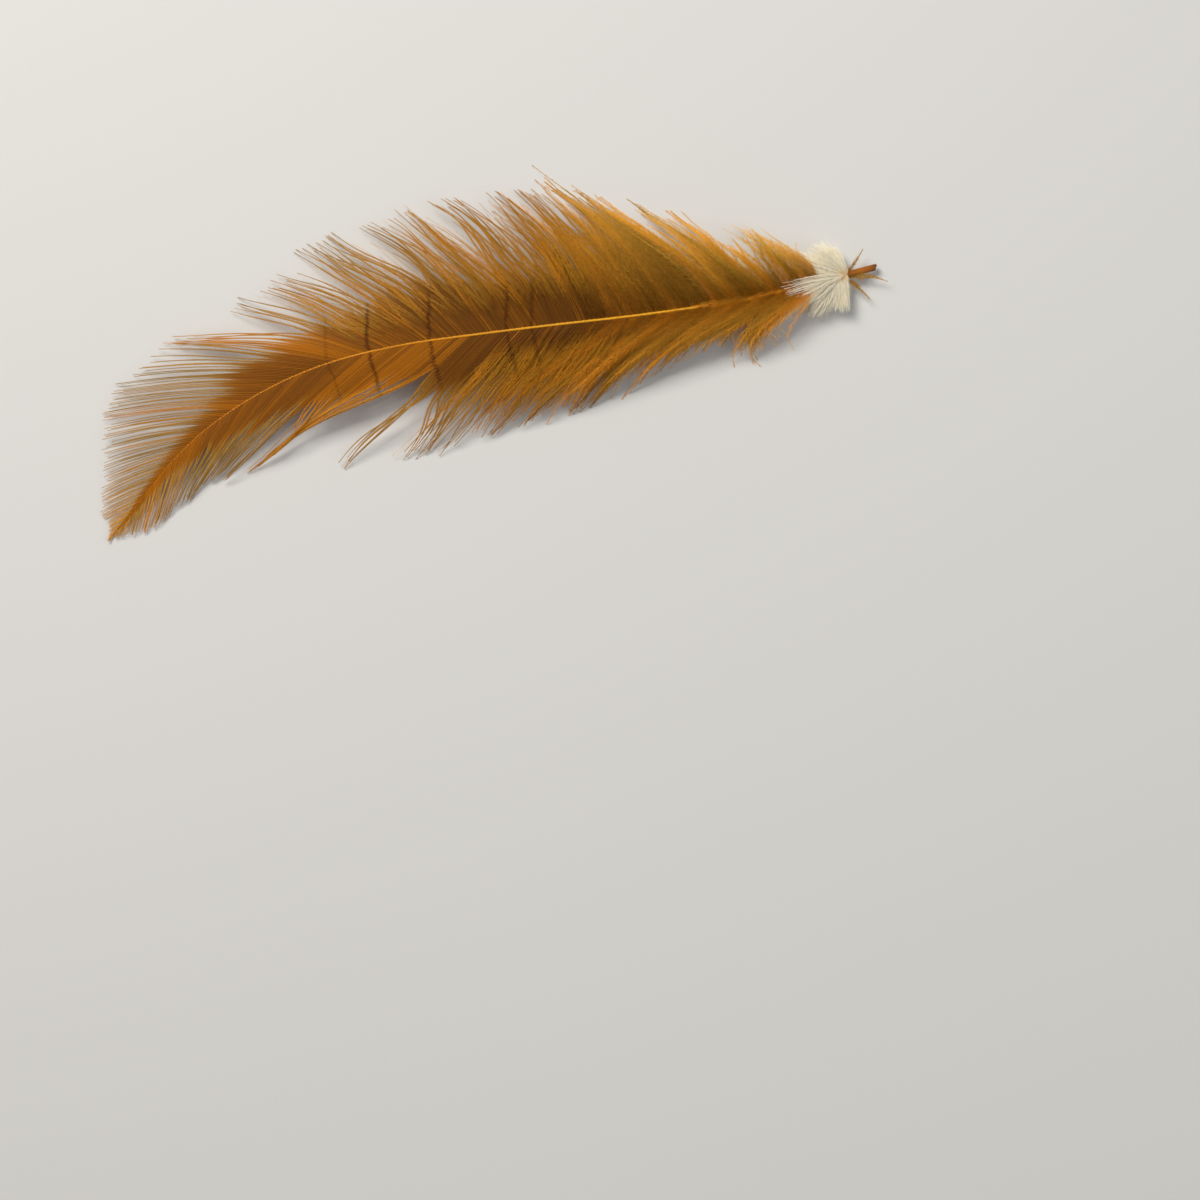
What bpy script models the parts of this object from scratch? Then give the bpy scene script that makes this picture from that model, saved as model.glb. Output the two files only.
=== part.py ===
"""Neck hackle feather, lying on a flat surface with its concave underside down.

The feather grew as one piece, so it is one solid: the shaft, the two vanes with the locks that
their barbs gather in, the pad of down round the base and the short tuft of down at the quill.
It lies along X, with the quill's end at +X and the tip at -X, and rests on the plane z = 0.
Its origin is the middle of its footprint.
"""

import math

import bmesh
import bpy
import numpy as np

MM = 0.001

# Where the tip of the shaft lies in the part's frame, so that the footprint is centred on the origin.
TIP_AT = (-61.03, -12.92)

# The shaft's line from the quill's end to the tip, measured from the tip: x, y, height.
SHAFT_ROUTE = (
    (122.2, 0.0, 1.1),
    (117.6, 0.35, 1.8),
    (110.4, 0.9, 2.8),
    (102.7, 1.7, 3.7),
    (94.8, 3.05, 4.4),
    (84.9, 5.1, 5.0),
    (74.7, 7.45, 5.3),
    (62.8, 10.1, 5.3),
    (50.9, 12.5, 5.1),
    (44.0, 13.35, 4.8),
    (37.4, 13.6, 4.4),
    (29.6, 12.95, 3.8),
    (22.7, 11.5, 3.2),
    (17.3, 9.75, 2.6),
    (12.3, 7.4, 2.0),
    (7.9, 4.8, 1.4),
    (3.9, 2.2, 0.8),
    (0.0, 0.0, 0.3),
)

# Share along the shaft, radius. The quill is round and even, and the rachis thins all the way.
SHAFT_RADIUS = (
    (0.0, 0.48),
    (0.04, 0.48),
    (0.12, 0.42),
    (0.3, 0.34),
    (0.6, 0.28),
    (0.985, 0.22),
)

# Share along the shaft, barb length, its angle from the shaft at the root and at the tip in
# degrees, how far it arches up at mid-length, and the height of its tip.
UPPER_BARBS = (
    (0.04, 4.4, 112, 95, 1.0, 2.6),
    (0.08, 7.4, 92, 72, 1.6, 3.0),
    (0.12, 11.5, 76, 55, 2.0, 2.6),
    (0.17, 16.0, 68, 48, 2.0, 1.8),
    (0.23, 20.0, 68, 46, 1.8, 1.2),
    (0.30, 24.0, 72, 46, 1.5, 0.7),
    (0.38, 26.6, 72, 42, 1.2, 0.4),
    (0.46, 26.2, 62, 38, 0.8, 0.3),
    (0.54, 24.4, 46, 32, 0.5, 0.3),
    (0.58, 23.2, 39, 30, 0.4, 0.3),
    (0.61, 22.4, 34, 27, 0.3, 0.3),
    (0.64, 26.6, 29, 19, 0.3, 0.3),
    (0.67, 27.0, 27, 16, 0.3, 0.3),
    (0.72, 26.0, 28, 17, 0.3, 0.3),
    (0.785, 20.5, 32, 22, 0.2, 0.3),
    (0.87, 12.8, 31, 21, 0.2, 0.2),
    (0.925, 8.4, 31, 22, 0.1, 0.2),
    (0.97, 4.2, 26, 18, 0.0, 0.2),
    (1.0, 1.6, 10, 5, 0.0, 0.2),
)
LOWER_BARBS = (
    (0.04, 5.0, 112, 100, 1.0, 1.4),
    (0.08, 8.0, 84, 70, 1.6, 1.2),
    (0.12, 10.5, 52, 52, 1.8, 0.8),
    (0.17, 13.0, 40, 44, 1.5, 0.5),
    (0.23, 16.0, 42, 44, 1.2, 0.3),
    (0.30, 19.5, 46, 44, 0.8, 0.2),
    (0.38, 22.5, 44, 46, 0.6, 0.2),
    (0.46, 26.0, 38, 44, 0.4, 0.2),
    (0.54, 30.5, 29.5, 29, 0.3, 0.2),
    (0.60, 28.7, 27.5, 29, 0.3, 0.2),
    (0.66, 24.8, 25.5, 29.5, 0.3, 0.2),
    (0.72, 20.3, 24, 29, 0.2, 0.2),
    (0.785, 16.4, 27, 29.5, 0.2, 0.2),
    (0.87, 11.8, 28, 24, 0.1, 0.2),
    (0.925, 7.6, 26, 20, 0.1, 0.2),
    (0.97, 3.8, 22, 16, 0.0, 0.2),
    (1.0, 1.6, 10, 5, 0.0, 0.2),
)

# Share along the shaft, and the share of each barb's length over which the vane is closed.
CLOSED_VANE = ((0.04, 0.5), (0.15, 0.42), (0.35, 0.36), (0.55, 0.38), (0.8, 0.5), (1.0, 0.8))

VANE_FROM = 0.045
VANE_STRIPS = 60
LOCK_STRIPS = (2, 2, 3)
CLOSED_ROWS = 3
FREE_ROWS = 5
VANE_THICKNESS = 0.36
LOCK_TIP_THICKNESS = 0.22
LOCK_TIP_WIDTH = 0.08
LOCK_SWAY = 0.6
VANE_FLOOR = 0.05

SHAFT_RINGS = 54
SHAFT_SIDES = 8

# Share along the shaft, half-width and height above the shaft of the dense down round its base.
DOWN_PAD = (
    (0.040, 0.9, 0.3),
    (0.055, 3.0, 1.4),
    (0.08, 4.4, 2.6),
    (0.12, 5.0, 2.9),
    (0.16, 4.8, 2.3),
    (0.20, 4.2, 1.3),
    (0.24, 3.2, 0.3),
    (0.28, 1.6, -0.4),
)
PAD_RINGS = 15
PAD_SIDES = 11
PAD_FOOT = 0.6
PAD_WAIST = 0.35

# The tuft of short down round the quill: its middle, its half-sizes along, across and up, and how
# far its locks stand out and the dips between them go in, as shares of those.
TUFT_AT = 0.068
TUFT_HEIGHT = 3.2
TUFT_HALF_SIZE = (3.9, 4.4, 3.1)
TUFT_LOCKS = 14
TUFT_ROWS = 9
TUFT_LOCK_REACH = 0.3
TUFT_DIP = 0.12
TUFT_FLOOR = 0.12

# Loose barbs beside the quill: share where they root, length, heading in degrees and height of the tip.
LOOSE_BARBS = (
    (0.028, 3.6, 34, 3.0),
    (0.036, 6.2, -26, 1.6),
    (0.046, 5.4, -62, 1.0),
)
LOOSE_BARB_RADIUS = 0.26

FEATHER_COLOUR = (0.22, 0.085, 0.018, 1.0)


def smooth(table, share):
    """The columns of a table at these shares, on one smooth curve through its rows."""
    rows = np.asarray(table, float)
    x, y = rows[:, 0], rows[:, 1:]
    slope = np.gradient(y, x, axis=0)
    share = np.clip(np.asarray(share, float), x[0], x[-1])
    row = np.clip(np.searchsorted(x, share, "right") - 1, 0, len(x) - 2)
    width = x[row + 1] - x[row]
    u = ((share - x[row]) / width)[..., None]
    width = width[..., None]
    return (
        (2 * u**3 - 3 * u**2 + 1) * y[row]
        + (u**3 - 2 * u**2 + u) * width * slope[row]
        + (3 * u**2 - 2 * u**3) * y[row + 1]
        + (u**3 - u**2) * width * slope[row + 1]
    )


def lengths_along(points):
    """How far along a line each of its points lies."""
    steps = np.linalg.norm(np.diff(points, axis=0), axis=1)
    return np.concatenate([[0.0], np.cumsum(steps)])


class Shaft:
    """The shaft's centre line: its points and headings by share of its length."""

    def __init__(self, samples=801):
        route = np.array(SHAFT_ROUTE, float)
        route[:, :2] += TIP_AT
        along = lengths_along(route[:, :2])
        table = np.column_stack([along / along[-1], route])
        self.points = smooth(table, np.linspace(0, 1, samples))
        along = lengths_along(self.points[:, :2])
        self.share = along / along[-1]
        self.tangents = np.gradient(self.points, self.share, axis=0)
        self.tangents /= np.linalg.norm(self.tangents, axis=1)[:, None]

    def read(self, table, share):
        return np.stack([np.interp(share, self.share, column) for column in table.T], -1)

    def point(self, share):
        return self.read(self.points, share)

    def tangent(self, share):
        return self.read(self.tangents, share)

    def heading(self, share):
        tangent = self.tangent(share)
        return np.arctan2(tangent[..., 1], tangent[..., 0])


def barb_paths(shaft, side, shares, reach):
    """Points of the barbs that root at these shares, at each part of their length in reach."""
    guides = UPPER_BARBS if side > 0 else LOWER_BARBS
    shares = np.asarray(shares, float)
    length, root, tip, arch, tip_height = np.moveaxis(smooth(guides, shares), -1, 0)
    fine = np.linspace(0, 1, 41)
    turn = np.radians(root[:, None] + (tip - root)[:, None] * fine)
    heading = shaft.heading(shares)[:, None] - side * turn
    step = np.stack([np.cos(heading), np.sin(heading)], -1) * (length / 40)[:, None, None]
    path = np.cumsum((step[:, 1:] + step[:, :-1]) / 2, axis=1)
    path = np.concatenate([np.zeros((len(shares), 1, 2)), path], axis=1)
    reach = np.asarray(reach, float)
    points = np.empty((len(shares), reach.shape[-1], 3))
    start = shaft.point(shares)
    for i, barb in enumerate(path):
        w = reach if reach.ndim == 1 else reach[i]
        points[i, :, 0] = start[i, 0] + np.interp(w, fine, barb[:, 0])
        points[i, :, 1] = start[i, 1] + np.interp(w, fine, barb[:, 1])
        fall = w**1.6
        points[i, :, 2] = (
            start[i, 2] * (1 - fall) + tip_height[i] * fall + arch[i] * 4 * w * (1 - w)
        )
    return points


def pressed(points, floor):
    """The same points with those under this height pressed flat onto it."""
    points = np.array(points, float)
    points[..., 2] = np.maximum(points[..., 2], floor)
    return points


def new_object(name, bm):
    """A mesh object from a bmesh in millimetres."""
    bmesh.ops.recalc_face_normals(bm, faces=bm.faces)
    mesh = bpy.data.meshes.new(name)
    bm.to_mesh(mesh)
    bm.free()
    mesh.transform(np.diag([MM, MM, MM, 1.0]).tolist())
    made = bpy.data.objects.new(name, mesh)
    bpy.context.scene.collection.objects.link(made)
    return made


def loft(name, rings):
    """A closed solid through rings of points, with flat ends."""
    bm = bmesh.new()
    loops = [[bm.verts.new(p) for p in ring] for ring in rings]
    for one, two in zip(loops, loops[1:]):
        for i in range(len(one)):
            j = (i + 1) % len(one)
            bm.faces.new((one[i], one[j], two[j], two[i]))
    bm.faces.new(loops[0][::-1])
    bm.faces.new(loops[-1])
    return new_object(name, bm)


def tube_rings(points, radii, sides):
    """Rings of points round a line in space, square to it."""
    points = np.asarray(points, float)
    along = np.gradient(points, axis=0)
    along /= np.linalg.norm(along, axis=1)[:, None]
    across = np.cross(along, (0, 0, 1))
    across /= np.linalg.norm(across, axis=1)[:, None]
    up = np.cross(across, along)
    angle = np.linspace(0, 2 * math.pi, sides, endpoint=False)
    round_it = np.cos(angle)[None, :, None] * across[:, None] + np.sin(angle)[None, :, None] * up[:, None]
    return points[:, None] + round_it * np.asarray(radii, float)[:, None, None]


def make_shaft(shaft):
    """The quill and rachis: one tapering tube along the feather's curve."""
    share = np.linspace(0, SHAFT_RADIUS[-1][0], SHAFT_RINGS)
    radius = smooth(SHAFT_RADIUS, share)[:, 0]
    return loft("feather", pressed(tube_rings(shaft.point(share), radius, SHAFT_SIDES), VANE_FLOOR))


def lock_edges(rng):
    """The strips at which the locks of one side begin and end."""
    edges = [0]
    while VANE_STRIPS - edges[-1] > max(LOCK_STRIPS):
        edges.append(edges[-1] + int(rng.choice(LOCK_STRIPS)))
    return [*edges, VANE_STRIPS]


def lock_lines(shaft, side, shares, sway):
    """Lines of points from the shaft to the lock's tip, one for each strip edge of one lock."""
    closed = smooth(CLOSED_VANE, shares)[:, 0]
    inner = closed[:, None] * np.linspace(0, 1, CLOSED_ROWS + 1)
    free = np.linspace(0, 1, FREE_ROWS + 1)[1:]
    outer = closed[:, None] + (1 - closed)[:, None] * free
    points = [barb_paths(shaft, side, shares, inner)]
    middle = (shares[0] + shares[-1]) / 2
    half = (shares[-1] - shares[0]) / 2
    for row, gathered in enumerate((1 - LOCK_TIP_WIDTH) * free**1.5):
        rooted = middle + (shares - middle) * (1 - gathered) + half * sway * gathered
        points.append(barb_paths(shaft, side, rooted, outer[:, row:row + 1]))
    return np.concatenate(points, axis=1)


class VanePlate:
    """A thin plate built lock by lock: top, underside, and the rim where it ends or parts."""

    def __init__(self):
        self.bm = bmesh.new()
        self.corners = {}
        self.rows = CLOSED_ROWS + FREE_ROWS
        self.thickness = np.linspace(VANE_THICKNESS, LOCK_TIP_THICKNESS, self.rows + 1)

    def corner(self, side, line, row, lock, point):
        """The lower and upper vertex here; neighbours share those of the closed vane."""
        key = (0 if row == 0 else side, line, row, lock if row > CLOSED_ROWS else None)
        if key not in self.corners:
            low = max(point[2] - self.thickness[row] / 2, VANE_FLOOR)
            heights = (low, low + self.thickness[row])
            self.corners[key] = [self.bm.verts.new((point[0], point[1], z)) for z in heights]
        return self.corners[key]

    def add_rim(self, corners):
        for one, two in zip(corners, corners[1:]):
            self.bm.faces.new((one[0], two[0], two[1], one[1]))

    def add_lock(self, side, lock, strip, lines):
        """The faces of one lock and of the closed vane that it grows out of."""
        grid = [
            [self.corner(side, n, row, lock, line[row]) for row in range(self.rows + 1)]
            for n, line in zip(strip, lines)
        ]
        for one, two in zip(grid, grid[1:]):
            for row in range(self.rows):
                square = (one[row], one[row + 1], two[row + 1], two[row])
                self.bm.faces.new([v[1] for v in square])
                self.bm.faces.new([v[0] for v in square][::-1])
        self.add_rim(grid[0][0 if strip[0] == 0 else CLOSED_ROWS:])
        self.add_rim(grid[-1][0 if strip[-1] == VANE_STRIPS else CLOSED_ROWS:])
        self.add_rim([line[-1] for line in grid])


def make_vane(shaft):
    """Both vanes as one thin plate that passes through the shaft and parts into locks outside."""
    rng = np.random.default_rng(7)
    shares = np.linspace(VANE_FROM, 1.0, VANE_STRIPS + 1)
    plate = VanePlate()
    for side in (1, -1):
        edges = lock_edges(rng)
        for lock, (first, last) in enumerate(zip(edges, edges[1:])):
            strip = np.arange(first, last + 1)
            sway = LOCK_SWAY * rng.uniform(-1, 1)
            plate.add_lock(side, lock, strip, lock_lines(shaft, side, shares[strip], sway))
    return new_object("vane", plate.bm)


def make_down_pad(shaft):
    """The dense down round the base of the shaft: rounded above, with a flat foot where it rests."""
    share = np.linspace(DOWN_PAD[0][0], DOWN_PAD[-1][0], PAD_RINGS)
    half_width, crown = smooth(DOWN_PAD, share).T
    centre = shaft.point(share)
    heading = shaft.heading(share)
    angle = np.linspace(0, math.pi, PAD_SIDES)
    foot = PAD_FOOT * np.cos(angle[[0, -1]])
    across = np.concatenate([np.cos(angle), foot[::-1]])
    rise = np.concatenate([PAD_WAIST + (1 - PAD_WAIST) * np.sin(angle), (0, 0)])
    rings = []
    for at, turn, wide, above in zip(centre, heading, half_width, crown):
        x = at[0] - math.sin(turn) * wide * across
        y = at[1] + math.cos(turn) * wide * across
        rings.append(np.column_stack([x, y, (at[2] + above) * rise]))
    return loft("down_pad", rings)


def tuft_rows(middle, ahead):
    """Loops of points round the tuft from its foot to its top, every second one drawn out."""
    aside = np.array([-ahead[1], ahead[0], 0])
    for row, rise in enumerate(np.linspace(-math.pi / 2, math.pi / 2, TUFT_ROWS + 1)[1:-1]):
        n = np.arange(2 * TUFT_LOCKS)
        way = (n + 0.5 * (row % 2)) * math.pi / TUFT_LOCKS
        out = np.where((n + row) % 2, TUFT_LOCK_REACH, -TUFT_DIP) * math.cos(rise)
        along, across, up = np.outer(TUFT_HALF_SIZE, 1 + out)
        points = middle + (along * np.cos(way) * math.cos(rise))[:, None] * ahead
        points += (across * np.sin(way) * math.cos(rise))[:, None] * aside
        points[:, 2] += up * math.sin(rise)
        yield pressed(points, TUFT_FLOOR)


def make_tuft(shaft):
    """The tuft: a rounded mass of down with pointed locks standing out of it."""
    middle = shaft.point(TUFT_AT) * (1, 1, 0) + (0, 0, TUFT_HEIGHT)
    turn = float(shaft.heading(TUFT_AT))
    ahead = np.array([math.cos(turn), math.sin(turn), 0])
    return loft("tuft", list(tuft_rows(middle, ahead)))


def make_loose_barbs(shaft):
    """The few barbs that point away beside the quill."""
    barbs = []
    w = np.linspace(0, 1, 7)
    for n, (share, length, heading, height) in enumerate(LOOSE_BARBS):
        start = shaft.point(share)
        turn = math.radians(heading)
        end = start + (length * math.cos(turn), length * math.sin(turn), height - start[2])
        line = start + w[:, None] * (end - start)
        line[:, 2] += LOOSE_BARB_RADIUS * np.sin(math.pi * w)
        radius = LOOSE_BARB_RADIUS * np.sin(math.pi * (0.2 + 0.72 * w))
        barbs.append(loft(f"loose_barb_{n}", pressed(tube_rings(line, radius, 6), TUFT_FLOOR)))
    return barbs


def join(whole, parts):
    """Unions the parts into one solid; they stay as guides that don't render."""
    for part in parts:
        part.hide_render = True
        part.display_type = "WIRE"
        union = whole.modifiers.new(part.name, "BOOLEAN")
        union.operation = "UNION"
        union.solver = "EXACT"
        union.object = part
    return whole


def feather_material():
    material = bpy.data.materials.new("feather")
    material.use_nodes = True
    surface = material.node_tree.nodes["Principled BSDF"]
    surface.inputs["Base Color"].default_value = FEATHER_COLOUR
    surface.inputs["Roughness"].default_value = 0.6
    surface.inputs["Metallic"].default_value = 0.0
    return material


def main():
    for old in list(bpy.data.objects):
        bpy.data.objects.remove(old)
    shaft = Shaft()
    feather = make_shaft(shaft)
    parts = [make_vane(shaft), make_down_pad(shaft), make_tuft(shaft), *make_loose_barbs(shaft)]
    join(feather, parts)
    feather.data.materials.append(feather_material())


main()
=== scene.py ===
"""The looks of a rooster's neck hackle feather that lies on a pale surface.

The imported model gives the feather's frame: +X from the tip to the quill, +Y towards the wider
vane, +Z up from the surface. The shaft, the barbs of both vanes with their barbules, the down and
the tuft are meshes that stand for its one solid. Lengths are in millimetres until a mesh is made.
"""

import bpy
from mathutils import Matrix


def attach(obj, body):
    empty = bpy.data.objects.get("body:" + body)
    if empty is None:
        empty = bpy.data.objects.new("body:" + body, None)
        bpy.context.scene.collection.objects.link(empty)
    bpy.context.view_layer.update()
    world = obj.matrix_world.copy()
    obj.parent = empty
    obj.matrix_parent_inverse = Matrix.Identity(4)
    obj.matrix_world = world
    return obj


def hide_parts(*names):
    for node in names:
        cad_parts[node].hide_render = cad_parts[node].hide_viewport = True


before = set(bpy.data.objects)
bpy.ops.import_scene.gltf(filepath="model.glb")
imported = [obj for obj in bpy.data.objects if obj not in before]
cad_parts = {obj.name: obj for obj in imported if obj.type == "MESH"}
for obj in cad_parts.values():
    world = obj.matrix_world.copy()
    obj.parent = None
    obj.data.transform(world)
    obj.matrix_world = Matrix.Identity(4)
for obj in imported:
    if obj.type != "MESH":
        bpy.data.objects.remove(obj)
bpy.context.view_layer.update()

import math

import bpy
import numpy as np
from bpy.props import FloatProperty, FloatVectorProperty, IntProperty, PointerProperty

bl_info = {
    "name": "Neck hackle feather",
    "version": (1, 0, 0),
    "blender": (4, 5, 0),
    "location": "3D View > Sidebar > Feather",
    "description": "Builds a neck hackle feather from its shaft, barbs, barbules and down",
    "category": "Add Mesh",
}

MM = 0.001
NODE = "feather"
BODY = "root"

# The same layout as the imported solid: the tip's place, and the shaft's line from the quill's end
# to the tip, measured from the tip, as x, y and height.
TIP_AT = (-61.03, -12.92)
SHAFT_ROUTE = (
    (122.2, 0.0, 1.1),
    (117.6, 0.35, 1.8),
    (110.4, 0.9, 2.8),
    (102.7, 1.7, 3.7),
    (94.8, 3.05, 4.4),
    (84.9, 5.1, 5.0),
    (74.7, 7.45, 5.3),
    (62.8, 10.1, 5.3),
    (50.9, 12.5, 5.1),
    (44.0, 13.35, 4.8),
    (37.4, 13.6, 4.4),
    (29.6, 12.95, 3.8),
    (22.7, 11.5, 3.2),
    (17.3, 9.75, 2.6),
    (12.3, 7.4, 2.0),
    (7.9, 4.8, 1.4),
    (3.9, 2.2, 0.8),
    (0.0, 0.0, 0.3),
)

# Share along the shaft, barb length, its angle from the shaft at the root and at the tip in
# degrees, how far it arches up at mid-length, and the height of its tip.
UPPER_BARBS = (
    (0.04, 4.4, 112, 95, 1.0, 2.6),
    (0.08, 7.4, 92, 72, 1.6, 3.0),
    (0.12, 11.5, 76, 55, 2.0, 2.6),
    (0.17, 16.0, 68, 48, 2.0, 1.8),
    (0.23, 20.0, 68, 46, 1.8, 1.2),
    (0.30, 24.0, 72, 46, 1.5, 0.7),
    (0.38, 26.6, 72, 42, 1.2, 0.4),
    (0.46, 26.2, 62, 38, 0.8, 0.3),
    (0.54, 24.4, 46, 32, 0.5, 0.3),
    (0.58, 23.2, 39, 30, 0.4, 0.3),
    (0.61, 22.4, 34, 27, 0.3, 0.3),
    (0.64, 26.6, 29, 19, 0.3, 0.3),
    (0.67, 27.0, 27, 16, 0.3, 0.3),
    (0.72, 26.0, 28, 17, 0.3, 0.3),
    (0.785, 20.5, 32, 22, 0.2, 0.3),
    (0.87, 12.8, 31, 21, 0.2, 0.2),
    (0.925, 8.4, 31, 22, 0.1, 0.2),
    (0.97, 4.2, 26, 18, 0.0, 0.2),
    (1.0, 1.6, 10, 5, 0.0, 0.2),
)
LOWER_BARBS = (
    (0.04, 5.0, 112, 100, 1.0, 1.4),
    (0.08, 8.0, 84, 70, 1.6, 1.2),
    (0.12, 10.5, 52, 52, 1.8, 0.8),
    (0.17, 13.0, 40, 44, 1.5, 0.5),
    (0.23, 16.0, 42, 44, 1.2, 0.3),
    (0.30, 19.5, 46, 44, 0.8, 0.2),
    (0.38, 22.5, 44, 46, 0.6, 0.2),
    (0.46, 26.0, 38, 44, 0.4, 0.2),
    (0.54, 30.5, 29.5, 29, 0.3, 0.2),
    (0.60, 28.7, 27.5, 29, 0.3, 0.2),
    (0.66, 24.8, 25.5, 29.5, 0.3, 0.2),
    (0.72, 20.3, 24, 29, 0.2, 0.2),
    (0.785, 16.4, 27, 29.5, 0.2, 0.2),
    (0.87, 11.8, 28, 24, 0.1, 0.2),
    (0.925, 7.6, 26, 20, 0.1, 0.2),
    (0.97, 3.8, 22, 16, 0.0, 0.2),
    (1.0, 1.6, 10, 5, 0.0, 0.2),
)

# Share along the shaft, radius of the real quill and rachis.
SHAFT_RADIUS = (
    (0.0, 0.5),
    (0.035, 0.5),
    (0.1, 0.4),
    (0.22, 0.27),
    (0.45, 0.21),
    (0.7, 0.15),
    (0.88, 0.1),
    (1.0, 0.05),
)

# Share along the shaft, the part of a barb inside the closed vane, the part by which its lock has
# gathered, how firmly locks and pairs gather, how far single barbs stray as a share of the shaft,
# and barbule length.
UPPER_HABIT = (
    (0.24, 0.20, 0.80, 0.62, 0.50, 0.0060, 1.20),
    (0.34, 0.22, 0.85, 0.60, 0.50, 0.0060, 1.05),
    (0.45, 0.26, 0.90, 0.55, 0.55, 0.0050, 0.85),
    (0.55, 0.30, 0.95, 0.42, 0.60, 0.0032, 0.60),
    (0.61, 0.31, 1.00, 0.22, 0.60, 0.0016, 0.40),
    (0.68, 0.28, 1.10, 0.12, 0.60, 0.0010, 0.30),
    (0.76, 0.12, 1.10, 0.10, 0.55, 0.0007, 0.28),
    (0.87, 0.04, 1.10, 0.10, 0.50, 0.0005, 0.26),
    (1.00, 0.03, 1.10, 0.10, 0.40, 0.0004, 0.25),
)
LOWER_HABIT = (
    (0.24, 0.20, 0.80, 0.62, 0.50, 0.0060, 1.20),
    (0.34, 0.24, 0.85, 0.60, 0.50, 0.0060, 1.00),
    (0.45, 0.30, 0.85, 0.60, 0.55, 0.0045, 0.75),
    (0.55, 0.33, 0.80, 0.60, 0.60, 0.0030, 0.50),
    (0.62, 0.38, 0.95, 0.40, 0.60, 0.0060, 0.35),
    (0.72, 0.40, 1.00, 0.25, 0.65, 0.0065, 0.30),
    (0.80, 0.30, 1.00, 0.20, 0.60, 0.0040, 0.28),
    (0.88, 0.16, 1.00, 0.20, 0.60, 0.0015, 0.26),
    (1.00, 0.08, 1.00, 0.10, 0.40, 0.0004, 0.25),
)

# Barbs that run together in one bundle: the shares between which they root, the share that they
# gather to, and how firmly. The upper one leaves the natural split in that vane.
UPPER_BUNDLES = ((0.612, 0.664, 0.652, 0.72),)
LOWER_BUNDLES = ((0.485, 0.612, 0.562, 0.91),)

# Share along the shaft, and the part of their length that the last barbs keep, so that the feather
# ends in a point.
TIP_TRIM = ((0.90, 1.0), (0.94, 0.88), (0.97, 0.76), (1.0, 0.4))

# Share at which each dark growth bar crosses the shaft, its half-width as a share, its strength.
GROWTH_BARS = (
    (0.415, 0.0024, 0.60),
    (0.445, 0.0024, 0.70),
    (0.537, 0.0026, 0.80),
    (0.610, 0.0026, 0.80),
    (0.660, 0.0018, 0.40),
)
BAR_SLANT = 0.0011  # share per millimetre out from the shaft, towards the quill
BAR_WOBBLE = 0.008  # share
BAR_REACH, BAR_FADE = 5.5, 2.5  # millimetres out from the shaft, and over which they then fade

# Loose barbs beside the quill: share at the root, length, heading at the root in degrees, turn
# along them in degrees, rise at the root, how far they sag, and barbule length.
LOOSE_BARBS = (
    (0.036, 4.6, 32, 10, 12, 0.2, 0.9),
    (0.038, 6.6, -12, -30, 2, 0.1, 1.1),
    (0.039, 4.4, -30, 12, 1, 0.12, 0.9),
    (0.041, 5.6, -48, -22, 0, 0.15, 1.1),
)

# Share along the shaft, and what the longest lock of down there adds to its length, as a part of
# the barb length given above.
UPPER_WISPS = ((0.09, 0.6), (0.13, 0.9), (0.22, 0.8), (0.32, 0.28))
LOWER_WISPS = ((0.20, 0.4), (0.30, 0.2))

# The fewest and the most neighbours that keep together, in each kind of group.
VANE_PAIR = (2, 4)
VANE_LOCK = (5, 15)
DOWN_WISP = (3, 6)
COVER_LOCK = (6, 16)
TUFT_LOCK = (7, 15)

# Shares along the shaft between which each kind of soft barb roots.
DOWN_ROOTS = (0.07, 0.35)
UPPER_FILAMENT_ROOTS = (0.27, 0.60)
LOWER_FILAMENT_ROOTS = (0.27, 0.44)
COVER_ROOTS = (0.05, 0.20)
TUFT_ROOT, TUFT_ROOT_SPREAD = 0.034, 0.018
COVER_END = 0.235  # where the down over the shaft ends

# Share along the shaft, and barbule length there, on the down and on the loose filaments.
DOWN_BARBULES = ((0.05, 1.3), (0.2, 1.4), (0.35, 1.1))
FILAMENT_BARBULES = ((0.27, 1.1), (0.45, 0.8), (0.6, 0.45))
SHORT_BARBULE = 0.9

BARB_POINTS = 30
SHAFT_POINTS = 801
FIELD_BARBS, FIELD_PARTS = 486, 40
FLOOR_GAP = 0.06  # how far above the surface barbs stay, at least

# How wide a vane barb and a down barb are at their tips, as a part of their width at the root.
STEM_TIP, STRIP_TIP = 0.55, 0.3

SOFT_GLOSS = {"Specular IOR Level": 0.12}


def srgb(red, green, blue):
    """A colour as numbers from 0 to 255 made into a linear one."""
    values = np.array([red, green, blue]) / 255
    linear = np.where(values <= 0.04045, values / 12.92, ((values + 0.055) / 1.055) ** 2.4)
    return tuple(float(v) for v in linear)


def colour_property(name, description, colour):
    return FloatVectorProperty(
        name=name, description=description, default=srgb(*colour), min=0, max=1, size=3,
        subtype="COLOR",
    )


def length_property(name, description, millimetres):
    return FloatProperty(
        name=name, description=description, default=millimetres * MM, min=0, precision=6,
        subtype="DISTANCE", unit="LENGTH",
    )


def count_property(name, description, count):
    return IntProperty(name=name, description=description, default=count, min=1)


class FeatherSizes(bpy.types.PropertyGroup):
    barb_spacing: length_property("Barb spacing", "Distance between barbs along the shaft", 0.48)
    barb_width: length_property("Barb width", "Width of a barb of the vane at its root", 0.15)
    filament_spacing: length_property("Filament spacing", "Distance between loose barbs", 0.17)
    down_spacing: length_property("Down spacing", "Distance between down barbs", 0.10)
    down_width: length_property("Down width", "Width of a down barb at its root", 0.075)
    barbule_width: length_property("Barbule width", "Width of a barbule at its root", 0.04)
    tuft_barbs: count_property("Tuft barbs", "Barbs in the pale tuft", 1300)
    cover_barbs: count_property("Cover barbs", "Down barbs over the base of the shaft", 440)


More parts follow.
